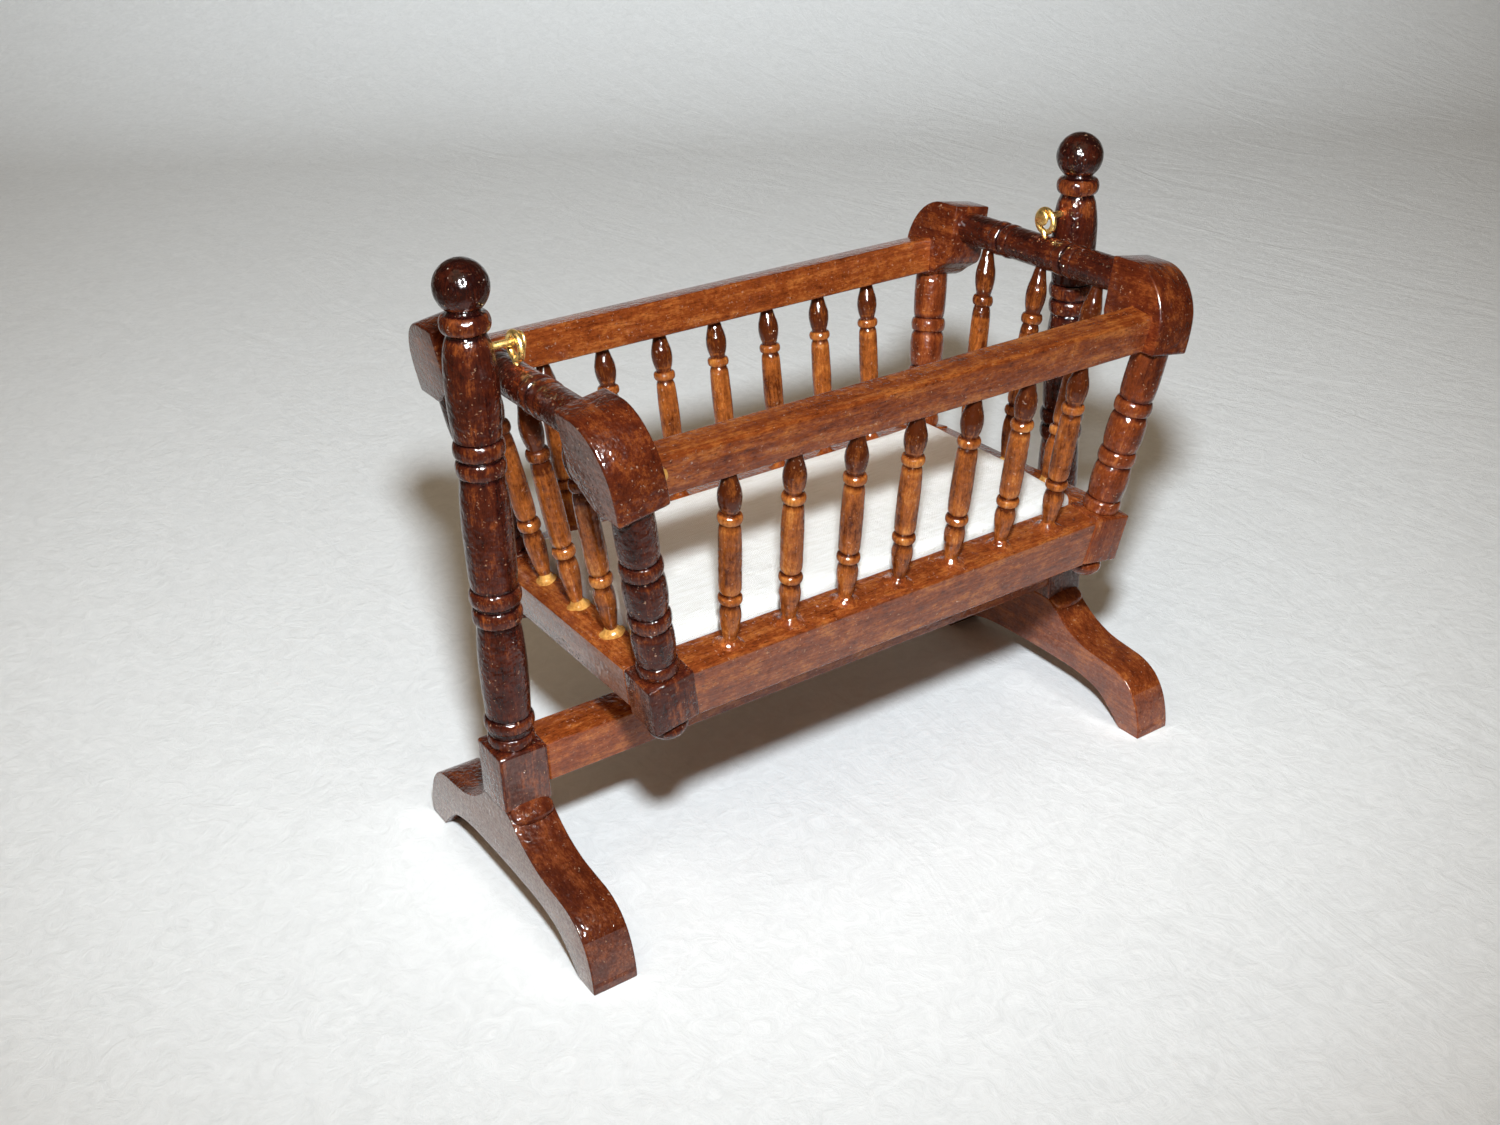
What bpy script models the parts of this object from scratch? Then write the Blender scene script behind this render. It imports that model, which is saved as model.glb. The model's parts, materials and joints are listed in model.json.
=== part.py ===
"""Swinging baby cradle for a doll's house, turned wood, one twelfth of full size.

Two turned stand posts on arched feet carry the basket on two brass pins. The basket is a frame of turned
corner posts, rails and spindles whose ends and sides all lean outward, with a loose mattress in it.
X runs along the cradle, Y across it, Z up, and the floor is z = 0. Sizes below are in millimetres.
"""

import math

import bmesh
import bpy
from mathutils import Matrix, Vector

MM = 0.001
GAP = 0.05  # between pieces that touch

# Stand
POST_X = 50.0
POST_BASE_Z = 16.25
PLINTH_TOP_Z = 25.0
PLINTH_HALF = 3.53
FOOT_HALF_LENGTH = 25.0
FOOT_HALF_THICKNESS = 3.27
STRETCHER = dict(half_width=3.25, bottom=18.7, top=24.6)

# Pivot: brass pins driven into the posts, each through a screw eye in the rod of the basket's end
PIN_Z = 80.4
PIN_RADIUS = 0.5
PIN_HEAD_X = 42.7
PIN_HEAD = dict(radius=1.2, thickness=0.5)
BORE_CLEARANCE = 0.05
BORE_DEPTH = 3.0
EYE_RING_RADIUS = 1.65
EYE_WIRE_RADIUS = 0.48
EYE_SHANK_RADIUS = 0.45

# Basket: its ends and sides are planes that start at the top of the bottom rails and lean outward
END_X = 38.3
SIDE_Y = 20.5
RAIL_TOP_Z = 41.9
END_LEAN = 0.165
SIDE_LEAN = 0.128
BLOCK_HALF = (3.33, 3.05)
BLOCK_HEIGHT = 7.5
SHOULDER_BOTTOM = 25.2
SHOULDER_TOP = 37.0
SHOULDER_INNER_Y = 16.6
SHOULDER_HALF_THICKNESS = 3.5
ROD_HEIGHT = 33.67
ROD_RADIUS = 2.45
TOP_RAIL = dict(inner=-3.13, outer=1.32, bottom=25.85, top=31.1)
BOTTOM_RAIL = dict(inner=-3.22, outer=2.74, bottom=-7.1, top=0.2)
BOTTOM_END_RAIL = dict(inner=-1.6, outer=3.3, bottom=-6.0, top=0.2)
SIDE_SPINDLES = dict(count=7, foot_pitch=9.2, head_pitch=9.63)
END_SPINDLES = dict(count=3, foot_pitch=9.08, head_pitch=11.73)
FLOOR = dict(half_length=35.8, half_width=16.5, bottom=37.4, top=38.9)
MATTRESS = dict(half_length=36.1, half_width=16.8, bottom=38.95, top=43.9, edge=1.1)

# Turned profiles as (height, radius), from the bottom up; a pair for the radius is a square section
STAND_POST = [
    (POST_BASE_Z, (PLINTH_HALF, PLINTH_HALF)), (PLINTH_TOP_Z, (PLINTH_HALF, PLINTH_HALF)),
    (PLINTH_TOP_Z, 2.95), (25.4, 3.15), (25.9, 3.21), (26.5, 3.12), (27.2, 3.02), (27.9, 3.25), (28.6, 3.42),
    (29.4, 3.2), (31.5, 3.12), (36.9, 3.24), (41.5, 3.08), (43.1, 2.9), (44.0, 2.98), (44.9, 3.27),
    (45.7, 3.1), (46.3, 3.0), (46.9, 3.15), (47.7, 3.41), (48.7, 3.12), (53.5, 3.24), (58.2, 3.26),
    (64.1, 2.92), (64.8, 2.84), (65.6, 3.15), (66.3, 2.95), (66.9, 2.85), (67.5, 3.05), (68.25, 3.22),
    (69.0, 3.02), (76.2, 3.37), (81.4, 2.95), (82.5, 2.6), (83.2, 2.85), (84.05, 3.15), (84.9, 2.8),
    (85.6, 2.1), (86.2, 2.55), (87.1, 3.14), (88.5, 3.44), (89.9, 3.14), (91.0, 2.36), (91.65, 1.25),
    (91.9, 0.35),
]
CORNER_POST = [
    (-BLOCK_HEIGHT, BLOCK_HALF), (0.0, BLOCK_HALF), (0.0, 2.35), (0.5, 2.62), (1.1, 2.75), (1.7, 2.6), (2.2, 2.5),
    (4.5, 2.72), (7.3, 2.6), (7.9, 2.4), (8.2, 2.62), (8.8, 2.76), (9.4, 2.62), (9.9, 2.4), (10.4, 2.56),
    (13.0, 2.74), (15.3, 2.6), (15.9, 2.35), (16.2, 2.6), (16.8, 2.74), (17.4, 2.6), (17.9, 2.35), (18.5, 2.5),
    (22.0, 2.6), (27.0, 2.5),
]
BUTTON_FOOT = [(-3.15, 0.9), (-3.0, 1.6), (-2.5, 2.3), (-1.8, 2.72), (-1.1, 2.72), (-0.5, 2.35), (0.0, 2.1)]
SPINDLE = [
    (0.0, 0.85), (0.08, 1.12), (0.15, 1.4), (0.24, 1.34), (0.28, 1.62), (0.315, 1.3), (0.36, 1.5), (0.5, 1.5),
    (0.68, 1.45), (0.715, 1.3), (0.75, 1.62), (0.79, 1.28), (0.86, 1.55), (0.92, 1.4), (0.96, 1.1),
    (1.0, 0.85),
]
RING_PAIR = [(-1.9, -0.15), (-1.4, 0.12), (-0.95, 0.22), (-0.45, 0.12), (0.0, -0.18), (0.45, 0.12), (0.95, 0.22),
             (1.4, 0.12), (1.9, -0.15)]

# Half outlines as (distance from the centre line, height)
FOOT_TOP = [(0.0, 16.2), (3.7, 16.2), (4.3, 15.4), (6.0, 14.0), (8.5, 12.4), (12.0, 11.1), (16.0, 10.6),
            (19.0, 10.2), (21.7, 8.8), (23.6, 6.3), (24.6, 3.5), (FOOT_HALF_LENGTH, 1.0),
            (FOOT_HALF_LENGTH, 0.0)]
FOOT_UNDERSIDE = [(20.8, 0.0), (20.2, 0.55), (19.0, 1.85), (16.4, 4.1), (14.0, 5.15), (10.0, 5.9), (4.0, 6.15)]
SHOULDER = [
    (SHOULDER_INNER_Y, 29.2), (SHOULDER_INNER_Y, SHOULDER_TOP), (20.0, SHOULDER_TOP), (21.4, 36.9),
    (22.9, 36.4), (24.3, 35.5), (25.5, 34.2), (26.4, 32.7), (27.0, 31.0), (27.2, 29.0), (27.15, 27.0),
    (27.0, SHOULDER_BOTTOM), (21.4, SHOULDER_BOTTOM), (20.3, 25.8), (19.2, 26.7), (18.1, 27.4), (17.1, 28.1),
]

WOODS = {
    "dark_wood": ((0.105, 0.028, 0.011, 1.0), 0.25, 0.0),
    "rail_wood": ((0.230, 0.068, 0.021, 1.0), 0.28, 0.0),
    "spindle_wood": ((0.340, 0.118, 0.034, 1.0), 0.28, 0.0),
    "brass": ((0.860, 0.610, 0.220, 1.0), 0.25, 1.0),
    "white_fabric": ((0.860, 0.860, 0.820, 1.0), 0.90, 0.0),
}

for leftover in list(bpy.data.objects):
    bpy.data.objects.remove(leftover, do_unlink=True)

cradle_parts = bpy.data.collections.new("baby_cradle")
cutters = bpy.data.collections.new("cutters")
for collection in (cradle_parts, cutters):
    bpy.context.scene.collection.children.link(collection)


def frame(name, location, axis=None, angle=0.0):
    """An empty that a group of pieces is placed in, with its matrix."""
    matrix = Matrix.Translation(Vector(location) * MM)
    if axis:
        matrix = matrix @ Matrix.Rotation(angle, 4, axis)
    empty = bpy.data.objects.new(name, None)
    empty.empty_display_size = 5 * MM
    empty.matrix_local = matrix
    cradle_parts.objects.link(empty)
    return empty


def piece(name, mesh_data, material, parent=None, location=(0, 0, 0), rotation=(0, 0, 0)):
    """A named object with its own material, from a mesh given in millimetres."""
    bmesh.ops.transform(mesh_data, matrix=Matrix.Scale(MM, 4), verts=mesh_data.verts)
    bmesh.ops.recalc_face_normals(mesh_data, faces=mesh_data.faces)
    mesh = bpy.data.meshes.new(name)
    mesh_data.to_mesh(mesh)
    mesh_data.free()
    body = bpy.data.objects.new(name, mesh)
    if material:
        colour, roughness, metallic = WOODS[material]
        surface = bpy.data.materials.new(name + "_" + material)
        surface.use_nodes = True
        shader = surface.node_tree.nodes["Principled BSDF"]
        shader.inputs["Base Color"].default_value = colour
        shader.inputs["Roughness"].default_value = roughness
        shader.inputs["Metallic"].default_value = metallic
        surface.diffuse_color = colour
        mesh.materials.append(surface)
        cradle_parts.objects.link(body)
    else:
        cutters.objects.link(body)
        body.hide_render = True
        body.display_type = "WIRE"
    body.parent = parent
    body.location = Vector(location) * MM
    body.rotation_euler = rotation
    return body


def turned(profile, sides=16, lean=(0.0, 0.0)):
    """A solid of rings up Z; lean slides its top ring sideways, so its ends stay level."""
    data = bmesh.new()
    low, high = profile[0][0], profile[-1][0]
    rings = []
    for height, size in profile:
        rise = (height - low) / (high - low)
        ring = []
        for k in range(sides):
            c, s = math.cos(2 * math.pi * k / sides), math.sin(2 * math.pi * k / sides)
            if isinstance(size, tuple):
                reach = max(abs(c), abs(s))
                x, y = size[0] * c / reach, size[1] * s / reach
            else:
                x, y = size * c, size * s
            ring.append(data.verts.new((x + lean[0] * rise, y + lean[1] * rise, height)))
        rings.append(ring)
    for below, above in zip(rings, rings[1:]):
        for k in range(sides):
            data.faces.new((below[k], below[(k + 1) % sides], above[(k + 1) % sides], above[k]))
    data.faces.new(rings[0][::-1])
    data.faces.new(rings[-1])
    return data


def slab(outline, half_thickness):
    """A flat outline in Y and Z, given thickness along X."""
    data = bmesh.new()
    face = data.faces.new([data.verts.new((-half_thickness, y, z)) for y, z in outline])
    grown = bmesh.ops.extrude_face_region(data, geom=[face])["geom"]
    bmesh.ops.translate(data, vec=(2 * half_thickness, 0, 0),
                        verts=[v for v in grown if isinstance(v, bmesh.types.BMVert)])
    return data


def bar(low, high):
    """A box between two opposite corners."""
    data = bmesh.new()
    bmesh.ops.create_cube(data, size=1.0)
    size = Vector(high) - Vector(low)
    middle = (Vector(high) + Vector(low)) / 2
    bmesh.ops.transform(data, matrix=Matrix.Translation(middle) @ Matrix.Diagonal((*size, 1.0)), verts=data.verts)
    return data


def trim(data, point, outward):
    """Cut off what lies beyond a plane and close the cut."""
    bmesh.ops.bisect_plane(data, geom=data.verts[:] + data.edges[:] + data.faces[:],
                           plane_co=point, plane_no=outward, clear_outer=True)
    bmesh.ops.holes_fill(data, edges=[e for e in data.edges if e.is_boundary])


def drill(body, name, radius, length, location, rotation=(0, 0, 0), parent=None):
    """A blind bore, cut by a hidden cylinder centred on the location."""
    cutter = piece(name, turned([(-length / 2, radius), (length / 2, radius)], 16), None, parent, location, rotation)
    hole = body.modifiers.new(name, "BOOLEAN")
    hole.operation = "DIFFERENCE"
    hole.solver = "EXACT"
    hole.object = cutter


def end_point(side, across, height, out):
    """A point of an end frame, in the cradle's own axes."""
    return Vector((side * (END_X + height * math.sin(END_LEAN) + out * math.cos(END_LEAN)), across,
                   RAIL_TOP_Z + height * math.cos(END_LEAN) - out * math.sin(END_LEAN)))


SIDES = {"left": -1, "right": 1}
FACES = {"front": -1, "back": 1}
ALONG_X = (0.0, math.pi / 2, 0.0)
ALONG_Y = (math.pi / 2, 0.0, 0.0)

# The stand
foot_outline = FOOT_TOP + FOOT_UNDERSIDE
foot_outline += [(-y, z) for y, z in reversed(FOOT_UNDERSIDE)]
foot_outline += [(-y, z) for y, z in reversed(FOOT_TOP[1:])]
stretcher_end = POST_X - PLINTH_HALF - GAP
for word, side in SIDES.items():
    x = side * POST_X
    piece("foot_" + word, slab(foot_outline, FOOT_HALF_THICKNESS), "dark_wood", None, (x, 0, 0))
    post = piece("stand_post_" + word, turned(STAND_POST), "dark_wood", None, (x, 0, 0))
    inner_x = POST_X - 3.5
    drill(post, "pin_bore_" + word, PIN_RADIUS + BORE_CLEARANCE, 2 * BORE_DEPTH, (side * inner_x, 0, PIN_Z), ALONG_X)
piece("stretcher", bar((-stretcher_end, -STRETCHER["half_width"], STRETCHER["bottom"]),
                       (stretcher_end, STRETCHER["half_width"], STRETCHER["top"])), "rail_wood")
for word, side in SIDES.items():
    pin_end = POST_X - 3.5 + BORE_DEPTH - GAP
    pin_profile = [(PIN_HEAD_X, 0.75), (PIN_HEAD_X + 0.12, PIN_HEAD["radius"]),
                   (PIN_HEAD_X + PIN_HEAD["thickness"], PIN_HEAD["radius"]),
                   (PIN_HEAD_X + PIN_HEAD["thickness"], PIN_RADIUS), (pin_end, PIN_RADIUS)]
    piece("pivot_pin_" + word, turned(pin_profile, 16), "brass", None, (0, 0, PIN_Z),
          (0.0, side * math.pi / 2, 0.0))

# The basket turns on this axis
pivot = frame("cradle_pivot", (0, 0, PIN_Z))
ends = {word: frame("end_frame_" + word, (side * END_X, 0, RAIL_TOP_Z - PIN_Z), "Y", side * END_LEAN)
        for word, side in SIDES.items()}
flanks = {word: frame("side_frame_" + word, (0, face * SIDE_Y, RAIL_TOP_Z - PIN_Z), "X", -face * SIDE_LEAN)
          for word, face in FACES.items()}
for group in (*ends.values(), *flanks.values()):
    group.parent = pivot

for word, side in SIDES.items():
    end = ends[word]
    for face_word, face in FACES.items():
        where = face_word + "_" + word
        tilt = (-face * SIDE_LEAN, 0.0, 0.0)
        root = (0, face * SIDE_Y, 0)
        shaft = turned(CORNER_POST)
        level = Vector((0, -face * math.sin(SIDE_LEAN), math.cos(SIDE_LEAN)))
        trim(shaft, Vector((0, 0, (SHOULDER_BOTTOM - GAP) / math.cos(SIDE_LEAN))), level)
        piece("corner_post_" + where, shaft, "dark_wood", end, root, tilt)
        drop = -BLOCK_HEIGHT - GAP
        base = (0, root[1] + face * drop * math.sin(SIDE_LEAN), drop * math.cos(SIDE_LEAN))
        piece("button_foot_" + where, turned(BUTTON_FOOT), "dark_wood", end, base, tilt)
        outline = [(face * y, z) for y, z in SHOULDER]
        piece("shoulder_block_" + where, slab(outline, SHOULDER_HALF_THICKNESS), "dark_wood", end)

    shift = 1.2 if side > 0 else 0.5
    half_rod = SHOULDER_INNER_Y - GAP
    rod_profile = [(-half_rod, ROD_RADIUS)]
    for centre in (-6.8, 6.8):
        rod_profile += [(centre + shift + dy, ROD_RADIUS + dr) for dy, dr in RING_PAIR]
    rod_profile += [(half_rod, ROD_RADIUS)]
    rod = piece("end_rod_" + word, turned(rod_profile), "dark_wood", end, (0, 0, ROD_HEIGHT), (-math.pi / 2, 0, 0))
    rod_at = end_point(side, 0, ROD_HEIGHT, 0) - Vector((0, 0, PIN_Z))
    bore_at = rod_at + Vector((0, 0, ROD_RADIUS))
    drill(rod, "eye_bore_" + word, EYE_SHANK_RADIUS + BORE_CLEARANCE, 2 * BORE_DEPTH, bore_at, (0, 0, 0), pivot)

    ring_z = PIN_RADIUS + GAP - (EYE_RING_RADIUS - EYE_WIRE_RADIUS)
    shank_low = bore_at.z - BORE_DEPTH + GAP
    shank = turned([(shank_low, EYE_SHANK_RADIUS), (ring_z - EYE_RING_RADIUS, EYE_SHANK_RADIUS)], 16)
    eye = piece("screw_eye_" + word, shank, "brass", pivot, (rod_at.x, 0, 0))
    hoop = bmesh.new()
    loops = []
    for k in range(24):
        turn = 2 * math.pi * k / 24
        loop = []
        for j in range(10):
            roll = 2 * math.pi * j / 10
            reach = EYE_RING_RADIUS + EYE_WIRE_RADIUS * math.cos(roll)
            loop.append(hoop.verts.new((EYE_WIRE_RADIUS * math.sin(roll), reach * math.cos(turn),
                                        reach * math.sin(turn))))
        loops.append(loop)
    for k in range(24):
        for j in range(10):
            a, b = loops[k], loops[(k + 1) % 24]
            hoop.faces.new((a[j], a[(j + 1) % 10], b[(j + 1) % 10], b[j]))
    ring = piece("eye_ring_" + word, hoop, None, pivot, (rod_at.x, 0, ring_z))
    join = eye.modifiers.new("ring", "BOOLEAN")
    join.operation = "UNION"
    join.solver = "EXACT"
    join.object = ring

    inner, outer = sorted((side * BOTTOM_END_RAIL["inner"], side * BOTTOM_END_RAIL["outer"]))
    rail = bar((inner, -SIDE_Y, BOTTOM_END_RAIL["bottom"]), (outer, SIDE_Y, BOTTOM_END_RAIL["top"]))
    for face in FACES.values():
        away = Vector((0, face * math.cos(SIDE_LEAN), -math.sin(SIDE_LEAN)))
        trim(rail, Vector((0, face * SIDE_Y, 0)) - away * (BLOCK_HALF[1] + GAP), away)
    piece("bottom_end_rail_" + word, rail, "rail_wood", end)

    foot_at = BOTTOM_END_RAIL["top"] + GAP
    tall = ROD_HEIGHT - ROD_RADIUS - GAP - foot_at
    for k in range(END_SPINDLES["count"]):
        step = k - (END_SPINDLES["count"] - 1) / 2
        lean = (0.0, step * (END_SPINDLES["head_pitch"] - END_SPINDLES["foot_pitch"]))
        body = turned([(t * tall, r) for t, r in SPINDLE], 10, lean)
        piece("spindle_%s_%d" % (word, k + 1), body, "spindle_wood", end,
              (0, step * END_SPINDLES["foot_pitch"], foot_at))

for word, face in FACES.items():
    flank = flanks[word]
    into_flank = (Matrix.Translation((0, face * SIDE_Y, RAIL_TOP_Z)) @ Matrix.Rotation(-face * SIDE_LEAN, 4, "X"))
    into_flank.invert()
    for title, size, thickness in (("top_rail_", TOP_RAIL, SHOULDER_HALF_THICKNESS),
                                   ("bottom_rail_", BOTTOM_RAIL, BLOCK_HALF[0])):
        near, far = sorted((face * size["inner"], face * size["outer"]))
        rail = bar((-60, near, size["bottom"]), (60, far, size["top"]))
        for side in SIDES.values():
            away = Vector((side * math.cos(END_LEAN), 0, -math.sin(END_LEAN)))
            trim(rail, into_flank @ end_point(side, 0, 0, -thickness - GAP), into_flank.to_3x3() @ away)
        piece(title + word, rail, "rail_wood", flank)
    foot_at = BOTTOM_RAIL["top"] + GAP
    tall = TOP_RAIL["bottom"] - GAP - foot_at
    for k in range(SIDE_SPINDLES["count"]):
        step = k - (SIDE_SPINDLES["count"] - 1) / 2
        lean = (step * (SIDE_SPINDLES["head_pitch"] - SIDE_SPINDLES["foot_pitch"]), 0.0)
        body = turned([(t * tall, r) for t, r in SPINDLE], 10, lean)
        piece("spindle_%s_%d" % (word, k + 1), body, "spindle_wood", flank,
              (step * SIDE_SPINDLES["foot_pitch"], 0, foot_at))

piece("floor_panel", bar((-FLOOR["half_length"], -FLOOR["half_width"], FLOOR["bottom"] - PIN_Z),
                         (FLOOR["half_length"], FLOOR["half_width"], FLOOR["top"] - PIN_Z)), "rail_wood", pivot)
pad = piece("mattress", bar((-MATTRESS["half_length"], -MATTRESS["half_width"], MATTRESS["bottom"] - PIN_Z),
                            (MATTRESS["half_length"], MATTRESS["half_width"], MATTRESS["top"] - PIN_Z)),
            "white_fabric", pivot)
soft_edge = pad.modifiers.new("soft edge", "BEVEL")
soft_edge.width = MATTRESS["edge"] * MM
soft_edge.segments = 3
soft_edge.limit_method = "NONE"
bpy.context.view_layer.update()
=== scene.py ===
"""Looks of the doll's house baby cradle: lacquered wood, brass pivots and a woven cotton mattress.

Shapes are in millimetres, in the frame of the CAD model: X along the cradle, Y across it, Z up and
the floor at 0. Placing matrices, the floor, the lights and the camera are in metres.
"""

import json
import math

import bmesh
import bpy
from mathutils import Matrix, Vector, noise

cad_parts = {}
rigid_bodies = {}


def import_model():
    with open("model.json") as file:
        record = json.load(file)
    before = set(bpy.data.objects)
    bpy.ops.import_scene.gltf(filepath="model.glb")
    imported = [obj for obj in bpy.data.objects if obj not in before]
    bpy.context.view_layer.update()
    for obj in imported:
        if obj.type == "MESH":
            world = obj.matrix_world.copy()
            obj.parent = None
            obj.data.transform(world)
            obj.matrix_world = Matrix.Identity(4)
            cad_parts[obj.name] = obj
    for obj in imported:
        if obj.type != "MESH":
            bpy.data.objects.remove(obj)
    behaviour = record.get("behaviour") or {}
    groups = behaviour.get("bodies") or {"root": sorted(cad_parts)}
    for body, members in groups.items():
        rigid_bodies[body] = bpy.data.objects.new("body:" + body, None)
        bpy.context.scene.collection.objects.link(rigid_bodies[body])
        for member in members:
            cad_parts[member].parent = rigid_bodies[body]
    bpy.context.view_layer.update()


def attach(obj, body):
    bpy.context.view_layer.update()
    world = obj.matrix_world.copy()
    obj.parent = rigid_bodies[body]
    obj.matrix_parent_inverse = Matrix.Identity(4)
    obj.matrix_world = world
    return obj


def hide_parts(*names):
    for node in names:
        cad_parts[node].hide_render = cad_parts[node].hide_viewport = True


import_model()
scene = bpy.context.scene

MM = 0.001
SIDES = {"left": -1, "right": 1}
FACES = {"front": -1, "back": 1}

# ---------------------------------------------------------------- sizes, as in the CAD model

POST_X = 50.0
PLINTH_HALF, PLINTH_TOP = 3.53, 25.0
FOOT_HALF = 3.27
PIN_Z = 80.4
END_X, SIDE_Y, RAIL_TOP_Z = 38.3, 20.5, 41.9
END_LEAN, SIDE_LEAN = 0.165, 0.128  # radians that the ends and the sides lean out by
CORNER_BLOCK_X, CORNER_BLOCK_Y, CORNER_BLOCK_DEPTH = 3.33, 3.05, 7.5
SHOULDER_BOTTOM, SHOULDER_TOP, SHOULDER_INNER_Y, SHOULDER_HALF = 25.2, 37.0, 16.6, 3.5
ROD_HEIGHT, ROD_RADIUS = 33.67, 2.45
EYE_RADIUS, EYE_WIRE = 1.65, 0.47
EYE_Z = PIN_Z + 0.55 - 1.17  # the ring hangs with its inner edge on the pin
SPINDLE_FOOT = 0.2  # spindles stand this far above the basket's rail line
END_SPINDLE_GAP, END_SPINDLE_FAN = 9.08, 2.65  # between feet, and a head's lean past its foot
SIDE_SPINDLE_GAP, SIDE_SPINDLE_FAN = 9.2, 0.43
SIDE_SPINDLE_TOP = 25.85
GAP = 0.02  # left between parts that would otherwise touch

# Turning profiles: (height, radius), with "bead" before a ring and "ball" before the finial.
# A spindle's heights are fractions of its length.

STAND_POST = [
    (24.6, 2.9), (25.0, 2.92), "bead", (25.05, 26.75, 2.85, 3.21), (26.9, 2.95), (27.2, 2.9),
    (27.45, 2.95), "bead", (27.6, 29.5, 2.95, 3.42), (29.7, 3.02), (31.5, 3.12), (34.2, 3.2),
    (36.9, 3.24), (39.2, 3.18), (41.5, 3.06), (43.4, 2.85), "bead", (43.65, 46.0, 2.8, 3.32),
    (46.2, 2.88), "bead", (46.4, 48.75, 2.85, 3.44), (48.8, 3.0), (50.3, 3.16), (53.5, 3.24),
    (58.2, 3.26), (61.5, 3.12), (64.3, 2.8), "bead", (64.45, 66.7, 2.7, 3.22), (66.82, 2.75),
    "bead", (66.95, 69.25, 2.75, 3.3), (69.4, 2.98), (71.0, 3.14), (73.5, 3.3), (76.2, 3.37),
    (79.0, 3.25), (81.4, 2.9), (82.5, 2.5), (82.9, 2.4), "bead", (82.95, 85.3, 2.35, 3.15),
    (85.5, 2.1), (85.7, 2.0), "ball", (88.5, 3.44, 85.75),
]
CORNER_POST = [
    (-0.6, 2.2), (0.0, 2.3), "bead", (0.05, 2.15, 2.3, 2.78), (2.3, 2.5), (4.5, 2.74), (6.4, 2.72),
    (7.55, 2.46), "bead", (7.7, 9.95, 2.3, 2.78), (10.1, 2.46), (11.3, 2.68), (13.2, 2.76),
    (14.8, 2.66), (15.55, 2.38), "bead", (15.7, 17.9, 2.25, 2.76), (18.05, 2.38), (19.2, 2.55),
    (22.0, 2.6), (25.6, 2.5),
]
SPINDLE = [
    (0.0, 0.78), (0.03, 0.86), (0.08, 1.12), (0.15, 1.4), (0.2, 1.45), (0.25, 1.2), "bead",
    (0.255, 0.305, 1.12, 1.62), (0.312, 1.18), (0.33, 1.42), (0.37, 1.5), (0.5, 1.52),
    (0.62, 1.48), (0.69, 1.4), (0.718, 1.2), "bead", (0.722, 0.775, 1.12, 1.62), (0.785, 1.16),
    (0.82, 1.42), (0.86, 1.55), (0.9, 1.47), (0.95, 1.12), (1.0, 0.82),
]
BUTTON = [
    (-3.17, 0.05), (-3.14, 0.7), (-2.98, 1.5), (-2.55, 2.2), (-2.0, 2.62), (-1.45, 2.76),
    (-0.95, 2.62), (-0.6, 2.3), (-0.35, 2.05), (0.0, 2.0),
]
FOOT_TOP = [
    (0.0, 16.2), (2.6, 16.2), (3.7, 15.95), (4.8, 15.0), (6.4, 13.75), (8.5, 12.45), (12.0, 11.15),
    (16.0, 10.6), (19.0, 10.15), (21.7, 8.75), (23.6, 6.3), (24.6, 3.5), (25.0, 1.1), (25.0, 0.0),
]
FOOT_UNDERSIDE = [
    (20.8, 0.0), (20.2, 0.6), (19.0, 1.9), (16.4, 4.1), (14.0, 5.15), (10.0, 5.9), (4.0, 6.15),
    (0.0, 6.2),
]
SHOULDER_ARC = [
    (20.0, 37.0), (21.4, 36.9), (22.9, 36.4), (24.3, 35.5), (25.5, 34.2), (26.4, 32.7),
    (27.0, 31.0), (27.2, 29.0), (27.15, 27.0), (27.0, 25.2),
]
SHOULDER_COVE = [
    (21.4, 25.2), (20.3, 25.8), (19.2, 26.7), (18.1, 27.4), (17.1, 28.1), (16.6, 29.2),
]


def at(location, axis=None, angle=0.0):
    """A placing matrix, in metres, from millimetres and a turn."""
    matrix = Matrix.Translation(Vector(location) * MM)
    return matrix @ Matrix.Rotation(angle, 4, axis) if axis else matrix


END = {side: at((side * END_X, 0, RAIL_TOP_Z), "Y", side * END_LEAN) for side in (-1, 1)}
FLANK = {face: at((0, face * SIDE_Y, RAIL_TOP_Z), "X", -face * SIDE_LEAN) for face in (-1, 1)}


# ---------------------------------------------------------------- shaping


def clamp(value, low=0.0, high=1.0):
    return max(low, min(high, value))


def circle(sides):
    """Points of a unit circle."""
    turns = (2 * math.pi * k / sides for k in range(sides))
    return [(math.cos(turn), math.sin(turn)) for turn in turns]


def smooth_run(points, steps=4):
    """More points on a curve through these, as a Catmull-Rom spline."""
    if len(points) < 3:
        return list(points)
    dense = []
    last = len(points) - 1
    for i in range(last):
        near = points[max(i - 1, 0)], points[i], points[i + 1], points[min(i + 2, last)]
        for k in range(steps):
            t = k / steps
            dense.append(tuple(
                0.5 * (2 * b + (c - a) * t + (2 * a - 5 * b + 4 * c - d) * t * t
                       + (3 * b - a - 3 * c + d) * t ** 3)
                for a, b, c, d in zip(*near)))
    return dense + [points[-1]]


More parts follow.
